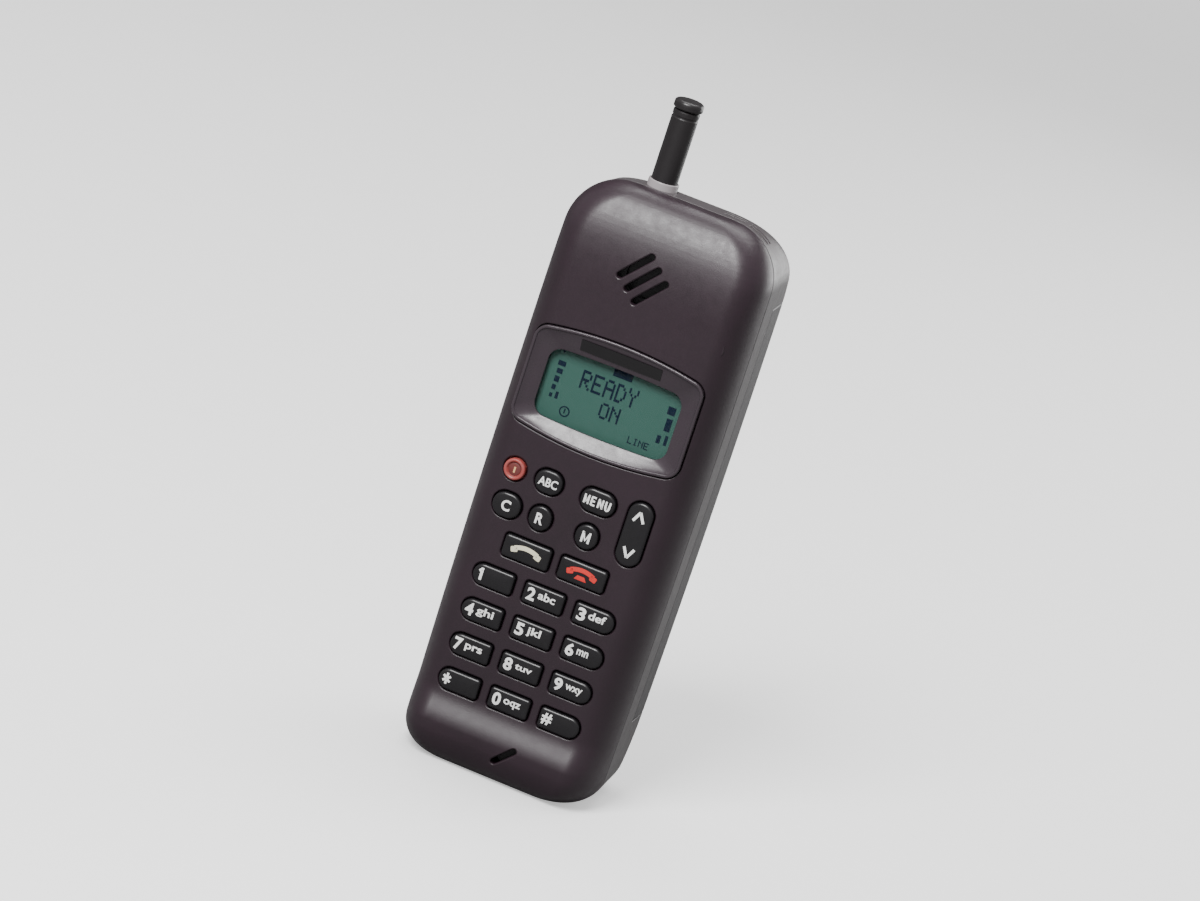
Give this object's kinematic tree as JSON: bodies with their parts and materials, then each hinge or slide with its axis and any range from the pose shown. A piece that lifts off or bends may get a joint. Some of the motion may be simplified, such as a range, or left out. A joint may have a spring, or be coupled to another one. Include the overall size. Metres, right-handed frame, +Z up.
{
  "type": "mobile phone",
  "caption": "Early mobile brick phone with a pull-up stub antenna, a small display, rubber keys and a clip-on battery pack.",
  "frame": {"origin": "middle of the phone's foot, under the middle of its depth", "axes": "+Z up along the phone towards the antenna, keys facing -Y, +X to the right of someone facing the keys"},
  "size_m": [0.0588, 0.045, 0.188],
  "materials": {
    "front_plastic": "fine matt moulding, dark aubergine",
    "rear_plastic": "fine matt moulding, warm grey",
    "pack_plastic": "fine matt moulding, warm grey",
    "gloss_black": "gloss black",
    "clear_window": "clear acrylic",
    "lcd": "teal green LCD",
    "inner_plastic": "black moulding",
    "light_guide": "frosted light guide",
    "inner_rubber": "silicone rubber",
    "circuit_board": "green glass-fibre board",
    "shield_steel": "tinned steel",
    "contact_brass": "plated brass",
    "antenna_plastic": "satin black",
    "cell_wrap": "shrink-wrapped cell",
    "key_plastic": "satin black key",
    "power_key": "dull red key ring"
  },
  "bodies": {
    "housing": {"front_cover": "front_plastic", "display_bezel": "front_plastic", "rear_cover": "rear_plastic", "antenna_bush": "rear_plastic", "label_plate": "gloss_black", "display_window": "clear_window", "lcd_glass": "lcd", "lcd_frame": "inner_plastic", "backlight_plate": "light_guide", "keypad_mat": "inner_rubber", "keypad_board": "circuit_board", "main_board": "circuit_board", "contact_strip": "inner_rubber", "rf_shield": "shield_steel", "sim_reader": "inner_plastic", "earpiece_gasket": "inner_rubber", "earpiece_capsule": "shield_steel", "microphone": "shield_steel", "buzzer": "inner_plastic", "system_connector": "inner_plastic", "contact_block": "inner_plastic", "antenna_contact": "contact_brass", "housing_screw_1": "shield_steel", "housing_screw_2": "shield_steel", "housing_screw_3": "shield_steel", "housing_screw_4": "shield_steel"},
    "antenna": {"antenna_tube": "antenna_plastic", "antenna_cap": "antenna_plastic", "antenna_coil": "contact_brass"},
    "battery_pack": {"battery_shell": "pack_plastic", "battery_cover": "pack_plastic", "latch_spring": "shield_steel", "battery_cell_1": "cell_wrap", "battery_cell_2": "cell_wrap", "battery_cell_3": "cell_wrap", "battery_cell_4": "cell_wrap", "battery_cell_5": "cell_wrap", "battery_cell_6": "cell_wrap"},
    "latch": {"battery_latch": "antenna_plastic"},
    "key_power_body": {"key_power": "power_key"},
    "key_abc_body": {"key_abc": "key_plastic"},
    "key_menu_body": {"key_menu": "key_plastic"},
    "key_scroll_body": {"key_scroll": "key_plastic"},
    "key_c_body": {"key_c": "key_plastic"},
    "key_r_body": {"key_r": "key_plastic"},
    "key_m_body": {"key_m": "key_plastic"},
    "key_send_body": {"key_send": "key_plastic"},
    "key_end_body": {"key_end": "key_plastic"},
    "key_1_body": {"key_1": "key_plastic"},
    "key_2_body": {"key_2": "key_plastic"},
    "key_3_body": {"key_3": "key_plastic"},
    "key_4_body": {"key_4": "key_plastic"},
    "key_5_body": {"key_5": "key_plastic"},
    "key_6_body": {"key_6": "key_plastic"},
    "key_7_body": {"key_7": "key_plastic"},
    "key_8_body": {"key_8": "key_plastic"},
    "key_9_body": {"key_9": "key_plastic"},
    "key_star_body": {"key_star": "key_plastic"},
    "key_0_body": {"key_0": "key_plastic"},
    "key_hash_body": {"key_hash": "key_plastic"}
  },
  "joints": [
    {"name": "antenna_slide", "type": "slide", "parent": "housing", "child": "antenna", "axis": [0, 0, -1], "range_m": [0, 0.019]},
    {"name": "battery_slide", "type": "slide", "parent": "housing", "child": "battery_pack", "axis": [0, 1, 0], "range_m": [0, 0.03]},
    {"name": "latch_slide", "type": "slide", "parent": "battery_pack", "child": "latch", "axis": [0, 0, -1], "range_m": [0, 0.0025], "stiffness_N_per_m": 600, "deforming": ["latch_spring"]},
    {"name": "press_power", "type": "slide", "parent": "housing", "child": "key_power_body", "axis": [0, 1, 0], "range_m": [0, 0.0008], "stiffness_N_per_m": 500},
    {"name": "press_abc", "type": "slide", "parent": "housing", "child": "key_abc_body", "axis": [0, 1, 0], "range_m": [0, 0.0008], "stiffness_N_per_m": 500},
    {"name": "press_menu", "type": "slide", "parent": "housing", "child": "key_menu_body", "axis": [0, 1, 0], "range_m": [0, 0.0008], "stiffness_N_per_m": 500},
    {"name": "scroll_rock", "type": "hinge", "parent": "housing", "child": "key_scroll_body", "pos_m": [0.0178, -0.0172, 0.0783], "axis": [1, 0, 0], "range_deg": [-3, 3], "stiffness_Nm_per_rad": 0.02},
    {"name": "press_c", "type": "slide", "parent": "housing", "child": "key_c_body", "axis": [0, 1, 0], "range_m": [0, 0.0008], "stiffness_N_per_m": 500},
    {"name": "press_r", "type": "slide", "parent": "housing", "child": "key_r_body", "axis": [0, 1, 0], "range_m": [0, 0.0008], "stiffness_N_per_m": 500},
    {"name": "press_m", "type": "slide", "parent": "housing", "child": "key_m_body", "axis": [0, 1, 0], "range_m": [0, 0.0008], "stiffness_N_per_m": 500},
    {"name": "press_send", "type": "slide", "parent": "housing", "child": "key_send_body", "axis": [0, 1, 0], "range_m": [0, 0.0008], "stiffness_N_per_m": 500},
    {"name": "press_end", "type": "slide", "parent": "housing", "child": "key_end_body", "axis": [0, 1, 0], "range_m": [0, 0.0008], "stiffness_N_per_m": 500},
    {"name": "press_1", "type": "slide", "parent": "housing", "child": "key_1_body", "axis": [0, 1, 0], "range_m": [0, 0.0008], "stiffness_N_per_m": 500},
    {"name": "press_2", "type": "slide", "parent": "housing", "child": "key_2_body", "axis": [0, 1, 0], "range_m": [0, 0.0008], "stiffness_N_per_m": 500},
    {"name": "press_3", "type": "slide", "parent": "housing", "child": "key_3_body", "axis": [0, 1, 0], "range_m": [0, 0.0008], "stiffness_N_per_m": 500},
    {"name": "press_4", "type": "slide", "parent": "housing", "child": "key_4_body", "axis": [0, 1, 0], "range_m": [0, 0.0008], "stiffness_N_per_m": 500},
    {"name": "press_5", "type": "slide", "parent": "housing", "child": "key_5_body", "axis": [0, 1, 0], "range_m": [0, 0.0008], "stiffness_N_per_m": 500},
    {"name": "press_6", "type": "slide", "parent": "housing", "child": "key_6_body", "axis": [0, 1, 0], "range_m": [0, 0.0008], "stiffness_N_per_m": 500},
    {"name": "press_7", "type": "slide", "parent": "housing", "child": "key_7_body", "axis": [0, 1, 0], "range_m": [0, 0.0008], "stiffness_N_per_m": 500},
    {"name": "press_8", "type": "slide", "parent": "housing", "child": "key_8_body", "axis": [0, 1, 0], "range_m": [0, 0.0008], "stiffness_N_per_m": 500},
    {"name": "press_9", "type": "slide", "parent": "housing", "child": "key_9_body", "axis": [0, 1, 0], "range_m": [0, 0.0008], "stiffness_N_per_m": 500},
    {"name": "press_star", "type": "slide", "parent": "housing", "child": "key_star_body", "axis": [0, 1, 0], "range_m": [0, 0.0008], "stiffness_N_per_m": 500},
    {"name": "press_0", "type": "slide", "parent": "housing", "child": "key_0_body", "axis": [0, 1, 0], "range_m": [0, 0.0008], "stiffness_N_per_m": 500},
    {"name": "press_hash", "type": "slide", "parent": "housing", "child": "key_hash_body", "axis": [0, 1, 0], "range_m": [0, 0.0008], "stiffness_N_per_m": 500}
  ]
}
